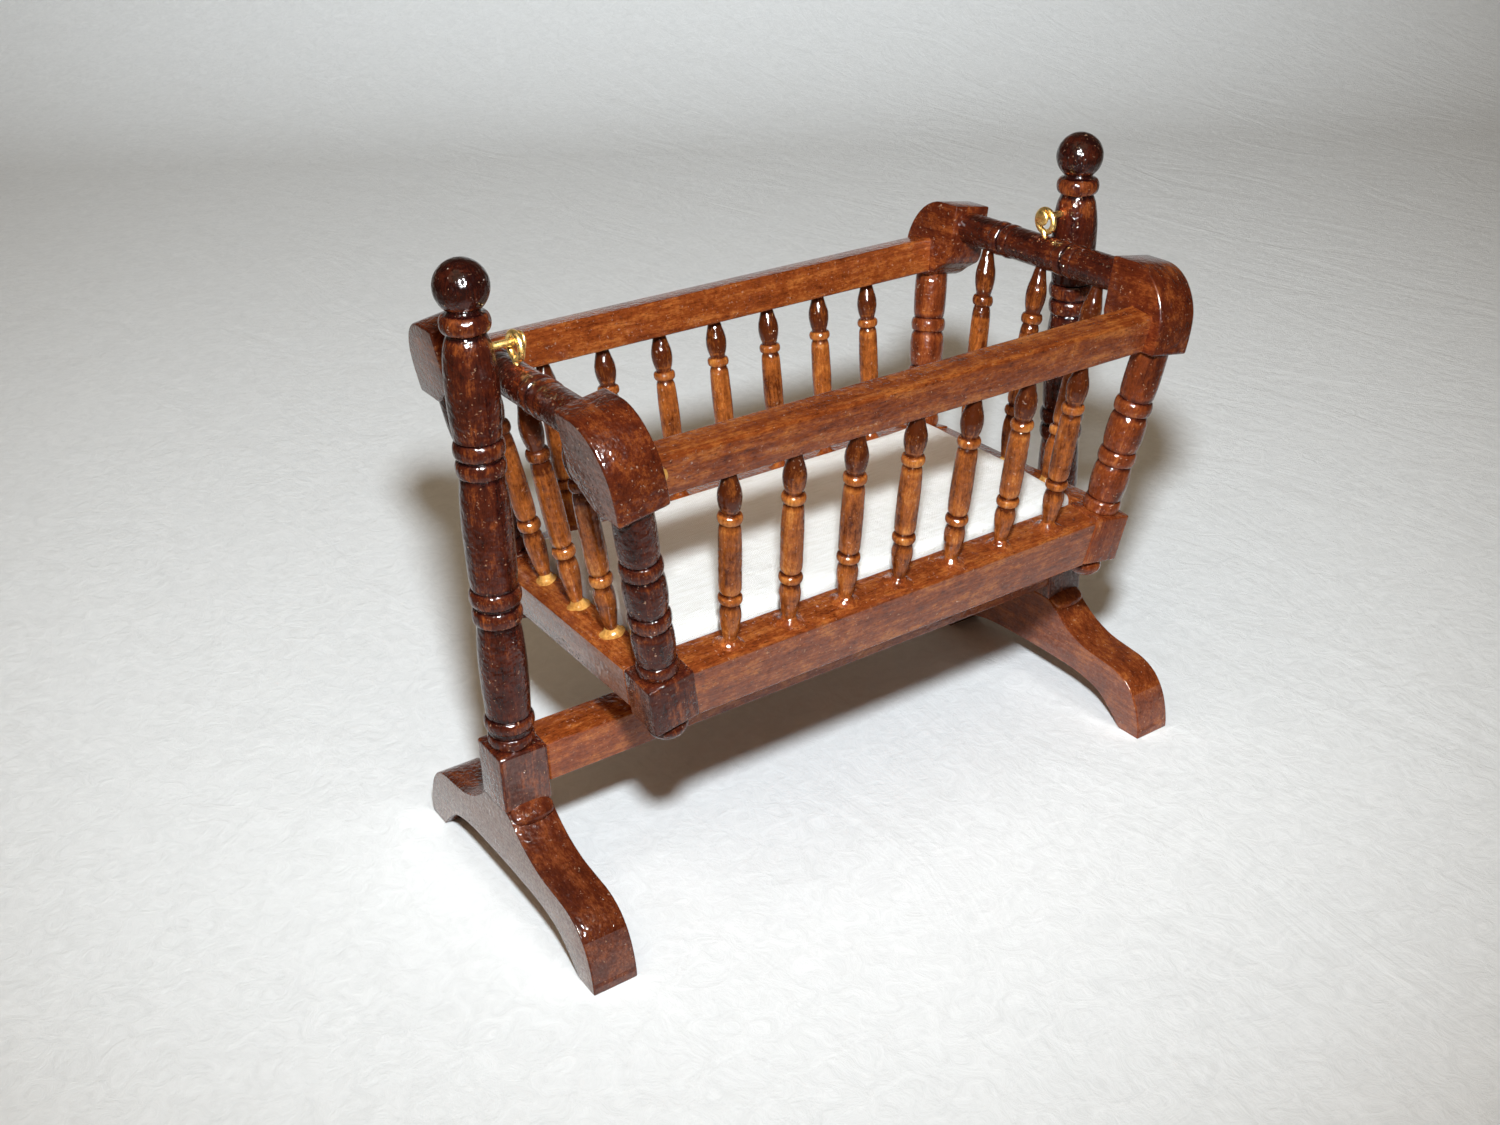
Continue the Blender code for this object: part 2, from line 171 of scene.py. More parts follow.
def profile_of(rows, scale=1.0):
    """A dense turning profile. "bead" is followed by (bottom, top, valley radius, crest radius),
    "ball" by (centre, radius, height where it starts)."""
    out, run, kind = [], [], None
    for row in rows:
        if isinstance(row, str):
            kind = row
            out += smooth_run(run)
            run = []
        elif kind == "bead":
            low, high, valley, crest = row
            middle, half = (low + high) / 2, (high - low) / 2
            out += [(middle - half * math.cos(a), valley + (crest - valley) * math.sin(a) ** 0.8)
                    for a in (math.pi * k / 12 for k in range(13))]
            kind = None
        elif kind == "ball":
            centre, radius, start = row
            first = math.acos(clamp((centre - start) / radius, -1.0))
            turns = [first + (math.pi - first) * k / 20 for k in range(21)]
            out += [(centre - radius * math.cos(a), max(radius * math.sin(a), 0.02)) for a in turns]
            kind = None
        else:
            run.append(row)
    out += smooth_run(run)
    return [(z * scale, r) for z, r in out]


def skin(data, rings):
    """Faces over a stack of vertex rings, closed at both ends."""
    for below, above in zip(rings, rings[1:]):
        for k in range(len(below)):
            after = (k + 1) % len(below)
            data.faces.new((below[k], below[after], above[after], above[k]))
    data.faces.new(rings[0][::-1])
    data.faces.new(rings[-1])
    return data


def turned(rows, sides=40, lean=(0.0, 0.0), scale=1.0, seed=0.0, wobble=0.03):
    """A turned solid, a little uneven as small lathe work is. lean shifts its top in X and Y."""
    data = bmesh.new()
    dense = profile_of(rows, scale)
    low, high = dense[0][0], dense[-1][0]
    rings = []
    for z, r in dense:
        rise = (z - low) / (high - low)
        ring = []
        for x, y in circle(sides):
            uneven = noise.noise(Vector((x * 0.8 + seed, y * 0.8, z * 0.35)))
            reach = max(r + wobble * uneven * min(1.0, r), 0.01)
            ring.append(data.verts.new((reach * x + lean[0] * rise, reach * y + lean[1] * rise, z)))
        rings.append(ring)
    return skin(data, rings)


def mark_valleys(data, dark_above=86.5):
    """Darker in the valleys of turned work, partly stain gathered there and partly painted shade: 1
    in a valley, 0 on a crest, as a vertex layer. It is darker all over above the height dark_above:
    a darker stain on the ball, and painted shade on the spindle heads under the rails and the rods."""
    layer = data.verts.layers.float.new("valley")
    rows = {}
    for v in data.verts:
        rows.setdefault(round(v.co.z, 3), []).append(v)
    heights = sorted(rows)
    radius = {z: max(math.hypot(v.co.x, v.co.y) for v in rows[z]) for z in heights}
    for z in heights:
        near = [radius[q] for q in heights if abs(q - z) < 0.9]
        depth = (sum(near) / len(near) - radius[z]) / 0.22
        for v in rows[z]:
            v[layer] = clamp(0.35 + depth) + (0.75 if z > dark_above else 0.0)
    return data


def box(low, high, bevel=0.25, segments=3):
    """A block with eased edges."""
    data = bmesh.new()
    bmesh.ops.create_cube(data, size=1.0)
    size, middle = Vector(high) - Vector(low), (Vector(high) + Vector(low)) / 2
    place = Matrix.Translation(middle) @ Matrix.Diagonal((*size, 1.0))
    bmesh.ops.transform(data, matrix=place, verts=data.verts)
    if bevel:
        ease(data, data.edges[:], bevel, segments)
    return data


def ease(data, edges, width, segments=3):
    """Rounds edges off."""
    bmesh.ops.bevel(data, geom=edges, offset=width, segments=segments, profile=0.5, affect="EDGES",
                    clamp_overlap=True)


def trim(data, point, outward):
    """Cuts a shape off flat, past a point."""
    bmesh.ops.bisect_plane(data, geom=data.verts[:] + data.edges[:] + data.faces[:],
                           plane_co=point, plane_no=outward, clear_outer=True)
    bmesh.ops.holes_fill(data, edges=[e for e in data.edges if e.is_boundary])


def slab(outline, half, bevel):
    """A flat outline in Y and Z with thickness along X and rounded rims."""
    data = bmesh.new()
    face = data.faces.new([data.verts.new((-half, y, z)) for y, z in outline])
    grown = bmesh.ops.extrude_face_region(data, geom=[face])["geom"]
    bmesh.ops.translate(data, vec=(2 * half, 0, 0),
                        verts=[v for v in grown if isinstance(v, bmesh.types.BMVert)])
    bmesh.ops.recalc_face_normals(data, faces=data.faces)
    rims = [e for e in data.edges if abs(e.verts[0].co.x - e.verts[1].co.x) < 1e-6]
    corners = [e for e in data.edges if e not in rims and len(e.link_faces) == 2
               and e.calc_face_angle() > math.radians(32)]
    ease(data, rims + corners, bevel, 3)
    return data


def tube(points, radius, sides=14):
    """A round wire along a smooth line of points."""
    data = bmesh.new()
    points = [Vector(p) for p in points]
    last = len(points) - 1
    normal = None
    rings = []
    for i, p in enumerate(points):
        ahead = (points[min(i + 1, last)] - points[max(i - 1, 0)]).normalized()
        if normal is None:
            normal = ahead.orthogonal().normalized()
        normal = (normal - ahead * normal.dot(ahead)).normalized()
        across = ahead.cross(normal)
        rings.append([data.verts.new(p + radius * (normal * x + across * y))
                      for x, y in circle(sides)])
    return skin(data, rings)


def mound(middle, size, tilt, seed):
    """A smooth hump of set glue and lacquer."""
    data = bmesh.new()
    bmesh.ops.create_uvsphere(data, u_segments=28, v_segments=16, radius=1.0)
    for v in data.verts:
        flat = Vector([math.copysign(abs(c) ** 0.8, c) for c in v.co])
        swell = 1 + 0.08 * noise.noise(v.co * 1.3 + Vector((seed, 0, 0)))
        v.co = Vector((flat.x * size[0], flat.y * size[1], flat.z * size[2])) * swell
    turn = Matrix.Translation(middle) @ Matrix.Rotation(-tilt, 4, "X")
    bmesh.ops.transform(data, matrix=turn, verts=data.verts)
    return data


def join(*parts):
    """Several shapes in one mesh."""
    whole = parts[0]
    for part in parts[1:]:
        mesh = bpy.data.meshes.new("part")
        part.to_mesh(mesh)
        part.free()
        whole.from_mesh(mesh)
        bpy.data.meshes.remove(mesh)
    return whole


def mark_painted_reflection(mesh, left, front):
    """How strong a pale painted reflection is on the wide flat faces that look left or to the
    front, as a face attribute.
    """
    cloud = mesh.attributes.new("painted_reflection", "FLOAT", "FACE")
    for face in mesh.polygons:
        wide = face.area > 4
        if wide and face.normal.x < -0.93:
            cloud.data[face.index].value = left
        elif wide and face.normal.y < -0.85:
            cloud.data[face.index].value = front


def piece(name, data, material, body, place=None, stands_for=(), grain="Z", seed=0.0, painted_reflection=None,
          sharp=38):
    """An object of the look: its grain, its stain and its painted shade and reflection are stored
    on the mesh, so they move with it.

    grain is the axis that the wood grain runs along, haze a pair of strengths of the painted
    reflection for mark_painted_reflection, and sharp the angle in degrees from which an edge shows.
    """
    bmesh.ops.recalc_face_normals(data, faces=data.faces)
    mesh = bpy.data.meshes.new(name)
    data.to_mesh(mesh)
    data.free()
    order = {"Z": (0, 1, 2), "X": (1, 2, 0), "Y": (2, 0, 1)}[grain]
    coords = mesh.attributes.new("grain", "FLOAT_VECTOR", "POINT")
    jitter = Vector((13.7 * seed, 7.1 * seed, 29.3 * seed))
    for v in mesh.vertices:
        coords.data[v.index].vector = Vector([v.co[axis] for axis in order]) + jitter
    if painted_reflection:
        mark_painted_reflection(mesh, *painted_reflection)
    for v in mesh.vertices:
        v.co *= MM
    mesh.shade_smooth()
    mesh.set_sharp_from_angle(angle=math.radians(sharp))
    mesh.materials.append(material)
    shown = bpy.data.objects.new(name, mesh)
    scene.collection.objects.link(shown)
    if place is not None:
        shown.matrix_world = place
    if stands_for:
        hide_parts(*stands_for)
    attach(shown, body)
    return shown


# ---------------------------------------------------------------- materials


def connect(tree, socket, value):
    """Puts a number, a colour or another node's output on a socket."""
    if isinstance(value, bpy.types.NodeSocket):
        tree.links.new(value, socket)
    else:
        socket.default_value = value


def add(tree, kind, settings=None, **inputs):
    """A shader node. Inputs are given by name, or by number as i0, i1 and so on."""
    node = tree.nodes.new(kind)
    for key, value in (settings or {}).items():
        setattr(node, key, value)
    for key, value in inputs.items():
        numbered = key[0] == "i" and key[1:].isdigit()
        connect(tree, node.inputs[int(key[1:]) if numbered else key.replace("_", " ")], value)
    return node


def attribute(tree, name, output="Fac"):
    return add(tree, "ShaderNodeAttribute", {"attribute_name": name}).outputs[output]


def ramp(tree, value, *stops):
    """A colour ramp from (position, colour or grey) stops."""
    node = add(tree, "ShaderNodeValToRGB", None, Fac=value)
    band = node.color_ramp
    while len(band.elements) < len(stops):
        band.elements.new(0.5)
    for element, (place, colour) in zip(band.elements, stops):
        element.position = place
        grey = isinstance(colour, (int, float))
        element.color = (colour, colour, colour, 1.0) if grey else (*colour, 1.0)
    return node.outputs["Color"]


def stretched(tree, vector, scale):
    return add(tree, "ShaderNodeVectorMath", {"operation": "MULTIPLY"},
               i0=vector, i1=scale).outputs[0]


def noise_of(tree, vector, scale=1.0, detail=4.0, roughness=0.55, distortion=0.0):
    return add(tree, "ShaderNodeTexNoise", None, Vector=vector, Scale=scale, Detail=detail,
               Roughness=roughness, Distortion=distortion).outputs["Fac"]


def maths(tree, operation, a, b=0.5, limit=False):
    return add(tree, "ShaderNodeMath", {"operation": operation, "use_clamp": limit},
               i0=a, i1=b).outputs[0]


def total(tree, *terms):
    """The sum of (value, weight) terms."""
    whole = None
    for value, weight in terms:
        term = value if weight == 1 else maths(tree, "MULTIPLY", value, weight)
        whole = term if whole is None else maths(tree, "ADD", whole, term)
    return whole


def bump(tree, height, strength, distance, **under):
    return add(tree, "ShaderNodeBump", None, Strength=strength, Distance=distance, Height=height,
               **under).outputs["Normal"]


def mix(tree, factor, a, b):
    """One colour laid over another."""
    node = tree.nodes.new("ShaderNodeMix")
    node.data_type = "RGBA"
    connect(tree, node.inputs[0], factor)
    for index, colour in ((6, a), (7, b)):
        plain = isinstance(colour, tuple)
        connect(tree, node.inputs[index], (*colour, 1.0) if plain else colour)
    return node.outputs[2]


def new_material(name, slot=None):
    material = bpy.data.materials.new(name)
    material.use_nodes = True
    if slot:
        material["slot"] = slot
    tree = material.node_tree
    return material, tree, tree.nodes["Principled BSDF"]


def finish(tree, surface, **inputs):
    """Sets the surface shader's own sockets."""
    for name, value in inputs.items():
        connect(tree, surface.inputs[name.replace("_", " ")], value)


# The pale grey of a painted reflection on wide flat faces.
PAINTED_REFLECTION_COLOUR = (0.330, 0.262, 0.235)
# Light specks: painted glints on the lacquer's dust nibs.
DUST_AND_GLINT_COLOUR = (0.46, 0.24, 0.13)


def wood(name, slot, deep, middle, bright, coat_roughness=0.12, peel=1.0, pores=0.3, streaks=1.0,
         nibs=1.0):
    """Stained wood under thick, slightly dusty lacquer.

    deep, middle and bright are the stain's colours. peel is how rippled the lacquer is, nibs how
    much grit and dust it holds and how many glints are painted on the dust, pores how dark the
    pores are and streaks how strong the grain is.
    """
    material, tree, surface = new_material(name, slot)
    grain = attribute(tree, "grain", "Vector")
    valley = attribute(tree, "valley")
    painted_reflection = attribute(tree, "painted_reflection")

    bands = noise_of(tree, stretched(tree, grain, (0.6, 0.6, 0.05)), 1.0, 3.0, 0.5, 0.6)
    fine = noise_of(tree, stretched(tree, grain, (3.4, 3.4, 0.42)), 1.0, 5.0, 0.65, 0.3)
    blotch = noise_of(tree, grain, 0.34, 5.0, 0.65, 0.4)
    fleck = noise_of(tree, stretched(tree, grain, (1.0, 1.0, 0.5)), 2.6, 3.0, 0.7, 0.5)
    # The valley layer darkens the tone: partly stain and partly painted shade in the valleys,
    # painted shade on the spindle heads.
    tone = total(tree, (bands, 0.30), (fine, 0.26 * streaks), (blotch, 0.34), (fleck, 0.24),
                 (valley, -0.16))
    level = 0.5 * (0.88 + 0.26 * streaks)  # where the tone lies on average
    colour = ramp(tree, tone, (level - 0.15, deep), (level, middle), (level + 0.14, bright))

    dashes = noise_of(tree, stretched(tree, grain, (6.5, 6.5, 1.6)), 1.0, 2.0, 0.5)
    pore = ramp(tree, dashes, (0.32, 1.0), (0.42, 0.0))
    colour = mix(tree, maths(tree, "MULTIPLY", pore, pores), colour, tuple(0.3 * c for c in deep))
    speckle = ramp(tree, noise_of(tree, grain, 2.4, 3.0, 0.7), (0.40, 0.35), (0.62, 1.35))
    # Painted reflection: a speckled pale grey laid over the wide faces marked for it.
    painted_reflection_mask = maths(tree, "MULTIPLY", painted_reflection, total(tree, (fine, 0.9), (speckle, 0.55)), True)
    colour = mix(tree, painted_reflection_mask, colour, PAINTED_REFLECTION_COLOUR)
    # Painted glints: light specks in the colour where dust nibs in the lacquer catch the light; the
    # same specks are bumped below.
    dust_and_glint = ramp(tree, noise_of(tree, grain, 2.3, 1.0, 0.5), (0.69, 0.0), (0.76, 1.0))
    colour = mix(tree, maths(tree, "MULTIPLY", dust_and_glint, 0.5 * nibs), colour, DUST_AND_GLINT_COLOUR)

    ripple = noise_of(tree, grain, 1.25, 1.2, 0.5)
    grit = noise_of(tree, grain, 3.2, 1.0, 0.5)
    height = total(tree, (ripple, 1.5 * peel), (grit, 0.22 * nibs), (dust_and_glint, 0.5 * nibs))
    film = bump(tree, height, 1.0, 0.00012)
    under = bump(tree, fine, 0.5, 0.00004, Normal=film)
    finish(tree, surface, Base_Color=colour, Normal=under, Coat_Normal=film,
           Roughness=ramp(tree, fine, (0.3, 0.38), (0.8, 0.6)), Specular_IOR_Level=0.0,
           Coat_Weight=1.0, Coat_Roughness=coat_roughness, Coat_IOR=1.38)
    return material


def brass_material():
    """Bright brass with fine scratches and duller patches."""
    material, tree, surface = new_material("bright_brass", "brass")
    grain = attribute(tree, "grain", "Vector")
    worn = noise_of(tree, grain, 1.6, 4.0, 0.6)
    colour = ramp(tree, worn, (0.3, (0.62, 0.36, 0.09)), (0.55, (0.92, 0.66, 0.24)),
                  (0.8, (1.0, 0.82, 0.42)))
    scratches = noise_of(tree, stretched(tree, grain, (9.0, 9.0, 1.5)), 1.0, 3.0, 0.6)
    finish(tree, surface, Base_Color=colour, Normal=bump(tree, scratches, 0.6, 0.00003),
           Roughness=ramp(tree, worn, (0.3, 0.34), (0.7, 0.14)), Metallic=1.0)
    return material


WEAVE_PERIOD = 0.46  # millimetres for two threads


def cotton_material():
    """White plain-woven cotton. The threads wander a little and run on down the pad's sides."""
    material, tree, surface = new_material("white_cotton", "white_fabric")
    grain = attribute(tree, "grain", "Vector")
    drift = noise_of(tree, grain, 0.35, 3.0, 0.5)
    wander = add(tree, "ShaderNodeTexNoise", None, Vector=grain, Scale=0.5, Detail=2.0)
    bend = add(tree, "ShaderNodeVectorMath", {"operation": "SCALE"}, i0=wander.outputs["Color"],
               Scale=0.5).outputs[0]
    woven = add(tree, "ShaderNodeVectorMath", {"operation": "ADD"}, i0=grain, i1=bend).outputs[0]
    x, y, z = add(tree, "ShaderNodeSeparateXYZ", None, Vector=woven).outputs
    thread = []
    for axis in (x, y):
        turn = maths(tree, "MULTIPLY", maths(tree, "ADD", axis, z), 2 * math.pi / WEAVE_PERIOD)
        thread.append(maths(tree, "SINE", turn))
    weave = maths(tree, "MULTIPLY", *thread)
    ribs = maths(tree, "MAXIMUM", *(maths(tree, "ABSOLUTE", wave) for wave in thread))
    slubs = noise_of(tree, stretched(tree, grain, (0.3, 5.0, 1.0)), 1.0, 3.0, 0.6)
    cloth = bump(tree, total(tree, (weave, 0.35), (ribs, 1.4), (slubs, 0.8)), 0.55, 0.00009)
    shade = ramp(tree, total(tree, (ribs, 0.55), (slubs, 0.4)),
                 (0.46, (0.60, 0.57, 0.47)), (0.72, (0.98, 0.98, 0.96)))
    finish(tree, surface, Base_Color=shade, Normal=bump(tree, drift, 0.5, 0.0006, Normal=cloth),
           Roughness=0.9, Specular_IOR_Level=0.0, Sheen_Weight=0.06, Sheen_Roughness=0.5)
    return material


def floor_material():
    """Pale, slightly creased paper."""
    material, tree, surface = new_material("pale_floor")
    place = add(tree, "ShaderNodeTexCoord").outputs["Object"]
    fibres = noise_of(tree, place, 260.0, 6.0, 0.7, 1.6)
    creases = noise_of(tree, stretched(tree, place, (1.0, 0.35, 1.0)), 45.0, 4.0, 0.6, 2.2)
    shade = ramp(tree, fibres, (0.3, (0.74, 0.75, 0.74)), (0.7, (0.83, 0.84, 0.83)))
    finish(tree, surface, Base_Color=shade,
           Normal=bump(tree, total(tree, (fibres, 0.5), (creases, 1)), 0.35, 0.0012),
           Roughness=0.85, Specular_IOR_Level=0.0)
    return material


DARK = wood("dark_lacquered_wood", "dark_wood", (0.016, 0.0026, 0.0020), (0.068, 0.0115, 0.0045),
            (0.290, 0.070, 0.015), coat_roughness=0.11, nibs=1.4)
FOOT = wood("foot_wood", "dark_wood", (0.030, 0.005, 0.0025), (0.084, 0.0155, 0.0050),
            (0.210, 0.053, 0.014), peel=0.9)
BLOCK = wood("shoulder_wood", "dark_wood", (0.030, 0.0045, 0.0025), (0.108, 0.0180, 0.0050),
             (0.320, 0.080, 0.016), peel=0.8, streaks=0.8, nibs=1.4)
# Painted light: a lighter, redder copy of the dark wood for the right foot and the right corner
# posts, on the lit side.
RUDDY_LIT_SIDE = wood("ruddy_lit_side_wood", "dark_wood", (0.052, 0.009, 0.0035), (0.180, 0.0360, 0.0085),
             (0.410, 0.120, 0.026), peel=0.8, streaks=0.8, nibs=1.4)
RAIL = wood("rail_lacquered_wood", "rail_wood", (0.066, 0.010, 0.0030), (0.226, 0.047, 0.0088),
            (0.460, 0.150, 0.030), peel=0.9, pores=0.6, nibs=1.3)
HONEY = wood("spindle_lacquered_wood", "spindle_wood", (0.074, 0.014, 0.0030),
             (0.330, 0.088, 0.0155), (0.640, 0.255, 0.054), coat_roughness=0.1, peel=0.7,
             pores=0.35)
GLUE = wood("amber_glue", "spindle_wood", (0.230, 0.080, 0.0150), (0.560, 0.270, 0.0600),
            (0.760, 0.460, 0.140), coat_roughness=0.1, peel=0.8, pores=0.2)
BRASS = brass_material()
COTTON = cotton_material()

# ---------------------------------------------------------------- stand

PIN = [(42.62, 0.05), (42.65, 0.6), (42.75, 1.0), (42.9, 1.18), (43.05, 1.2), (43.15, 1.1),
       (43.2, 0.6), (43.3, 0.5), (46.0, 0.5), (49.4, 0.5)]

foot_half = smooth_run(FOOT_TOP[:-1], 3) + [FOOT_TOP[-1]] + smooth_run(FOOT_UNDERSIDE, 3)
foot_outline = foot_half + [(-y, z) for y, z in reversed(foot_half[1:-1])]

for word, side in SIDES.items():
    on_left = side < 0
    place = at((side * POST_X, 0, 0))
    mounds = [mound((0, face * 4.0, 15.75), (3.2, 1.75, 0.95), face * 0.55, 2.0 * side + face)
              for face in (-1, 1)]
    # The right foot gets the lighter wood, as painted light on the lit side.
    piece("arched_foot_" + word, join(slab(foot_outline, FOOT_HALF, 0.3), *mounds),
          FOOT if on_left else RUDDY_LIT_SIDE, "stand", place, ["foot_" + word], "Y", 1.3 + side,
          (0.8, 0.1) if on_left else (0.2, 0.1))
    shaft = mark_valleys(turned(STAND_POST, 48, seed=5.0 + side))
    plinth = box((-PLINTH_HALF, -PLINTH_HALF, 16.22), (PLINTH_HALF, PLINTH_HALF, PLINTH_TOP), 0.35)
    piece("turned_stand_post_" + word, join(shaft, plinth), DARK, "stand", place,
          ["stand_post_" + word], "Z", 3.0 + side, (0.3, 0.15))
    piece("brass_pin_" + word, turned(PIN, 28, wobble=0.01), BRASS, "stand",
          at((0, 0, PIN_Z), "Y", side * math.pi / 2), ["pivot_pin_" + word])

piece("stretcher_bar", box((-46.42, -3.25, 18.7), (46.42, 3.25, 24.6), 0.3), RAIL, "stand", None,
      ["stretcher"], "X", 2.2, (0.0, 0.08))

# ---------------------------------------------------------------- basket

POOL = [(0.0, 1.75), (0.06, 1.66), (0.16, 1.38), (0.34, 1.12), (0.62, 0.97), (0.95, 0.86)]
POOL_INNER = 0.8  # inside the spindle's foot


def lacquer_pool(name, place, seed, size, material):
    """A collar of lacquer and glue that ran down a spindle and set round its foot."""
    data = bmesh.new()
    rings = []
    for z, r in POOL:
        ring = []
        for x, y in circle(28):
            spread = 1 + 0.5 * noise.noise(Vector((x + seed * 3.1, y, seed)))
            reach = POOL_INNER + (r - POOL_INNER) * spread * size
            ring.append(data.verts.new((reach * x, reach * y, z * (0.8 + 0.3 * spread))))
        rings.append(ring)
    piece(name, skin(data, rings), material, "cradle", place, seed=seed, sharp=70)


def corner(word, side, face_word, face):
    """A corner post with its square block, its button foot and its shoulder."""
    where = face_word + "_" + word
    seed = 2.0 * side + face
    on_left = side < 0
    leaning = END[side] @ at((0, face * SIDE_Y, 0), "X", -face * SIDE_LEAN)
    shaft = mark_valleys(turned(CORNER_POST, 40, seed=seed))
    level = Vector((0, -face * math.sin(SIDE_LEAN), math.cos(SIDE_LEAN)))
    trim(shaft, Vector((0, 0, (SHOULDER_BOTTOM + GAP) / math.cos(SIDE_LEAN))), level)
    block = box((-CORNER_BLOCK_X, -CORNER_BLOCK_Y, -CORNER_BLOCK_DEPTH),
                (CORNER_BLOCK_X, CORNER_BLOCK_Y, 0.0), 0.3)
    # The right posts get the lighter wood, as painted light on the lit side.
    material = DARK if on_left else RUDDY_LIT_SIDE
    piece("turned_corner_post_" + where, join(shaft, block), material, "cradle", leaning,
          ["corner_post_" + where], "Z", seed, (0.12, 0.0) if on_left else None)
    piece("button_" + where, turned(BUTTON, 36, seed=seed), material, "cradle",
          leaning @ at((0, 0, -CORNER_BLOCK_DEPTH)), ["button_foot_" + where], "Z", seed + 0.4)
    outline = [(SHOULDER_INNER_Y, 29.2), (SHOULDER_INNER_Y, SHOULDER_TOP)]
    outline += smooth_run(SHOULDER_ARC, 3) + smooth_run(SHOULDER_COVE, 3)[:-1]
    piece("shoulder_" + where, slab([(face * y, z) for y, z in outline], SHOULDER_HALF, 0.32),
          BLOCK, "cradle", END[side], ["shoulder_block_" + where], "Y", seed + 0.7,
          (0.32, 0.0) if on_left else None)


def rod_profile(shift):
    """An end rod's turning profile: two pairs of rings, a little off centre."""
    rows = [(-16.55, 2.3), (-16.3, ROD_RADIUS)]
    for centre in (-6.8 + shift, 6.8 + shift):
        rows += [(centre - 2.5, ROD_RADIUS), (centre - 2.15, 2.3),
                 "bead", (centre - 2.0, centre - 0.1, 2.2, 2.62),
                 "bead", (centre + 0.1, centre + 2.0, 2.2, 2.62),
                 (centre + 2.15, 2.3), (centre + 2.5, ROD_RADIUS)]
    return rows + [(16.3, ROD_RADIUS), (16.55, 2.3)]


def screw_eye():
    """A brass ring on a neck that goes up into the rod, with the ring's middle at 0."""
    rod_above = RAIL_TOP_Z + ROD_HEIGHT * math.cos(END_LEAN) - EYE_Z
    neck = [(0, 0.0, rod_above + 0.6), (0, 0.0, rod_above + 2.3), (0, 0.02, -2.25), (0, 0.1, -1.95)]
    hoop = [(0, EYE_RADIUS * math.sin(a), EYE_RADIUS * -math.cos(a))
            for a in (math.radians(12 + k * 336 / 40) for k in range(41))]
    return tube(neck + hoop, EYE_WIRE, 16)


for word, side in SIDES.items():
    end = END[side]
    for face_word, face in FACES.items():
        corner(word, side, face_word, face)

    rod = turned(rod_profile(1.2 if side > 0 else 0.5), 44, seed=9 + side)
    piece("turned_rod_" + word, mark_valleys(rod), DARK, "cradle",
          end @ at((0, 0, ROD_HEIGHT), "X", -math.pi / 2), ["end_rod_" + word], "Z", 9.0 + side)
    eye_x = side * (END_X + ROD_HEIGHT * math.sin(END_LEAN))
    piece("eye_" + word, screw_eye(), BRASS, "cradle", at((eye_x, 0, EYE_Z)),
          ["screw_eye_" + word], "Z", 3.3)

    inner, outer = sorted((side * -1.6, side * 3.3))
    rail = box((inner, -SIDE_Y, -6.0), (outer, SIDE_Y, SPINDLE_FOOT), 0)
    for face in (-1, 1):
        away = Vector((0, face * math.cos(SIDE_LEAN), -math.sin(SIDE_LEAN)))
        stop = Vector((0, face * SIDE_Y, 0)) - away * (CORNER_BLOCK_Y + GAP)
        trim(rail, stop, away)
    ease(rail, rail.edges[:], 0.25)
    piece("end_rail_" + word, rail, RAIL, "cradle", end, ["bottom_end_rail_" + word], "Y",
          4.0 + side, (0.6, 0.0) if side < 0 else None)

    tall = ROD_HEIGHT - ROD_RADIUS + 0.12 - SPINDLE_FOOT
    for k in range(3):
        step = k - 1
        number = "%s_%d" % (word, k + 1)
        place = end @ at((0, step * END_SPINDLE_GAP, SPINDLE_FOOT))
        body = turned(SPINDLE, 28, (0.0, step * END_SPINDLE_FAN), tall, seed=k + 7 * side)
        # The spindle heads are darker here, as painted shade under the end rod.
        piece("turned_spindle_" + number, mark_valleys(body, dark_above=21.0), HONEY, "cradle",
              place, ["spindle_" + number], "Z", k + 5.0 * side)
        lacquer_pool("glue_collar_" + number, place, k + 3.3 * side, 0.85, GLUE)

piece("glue_spot", mound((3.95, -25.35, 28.6), (0.75, 0.3, 1.25), 0.0, 3.0), GLUE, "cradle",
      END[-1], seed=2.0, sharp=70)


def long_edges(data):
    return [e for e in data.edges if abs((e.verts[0].co - e.verts[1].co).x) > 20]


def side_rail(face, inner, outer, low, high, end_half, eased):
    """A rail along the basket, cut off flat against the shoulders or the corner blocks."""
    into_flank = FLANK[face].inverted()
    near, far = sorted((face * inner, face * outer))
    rail = box((-60, near, low), (60, far, high), 0)
    reach = -end_half - GAP
    for side in (-1, 1):
        away = Vector((side * math.cos(END_LEAN), 0, -math.sin(END_LEAN)))
        stop = Vector((side * (END_X + reach * math.cos(END_LEAN)), 0,
                       RAIL_TOP_Z - reach * math.sin(END_LEAN))) * MM
        trim(rail, (into_flank @ stop) / MM, into_flank.to_3x3() @ away)
    ease(rail, long_edges(rail), eased, 4)
    bmesh.ops.subdivide_edges(rail, edges=long_edges(rail), cuts=40)
    return rail


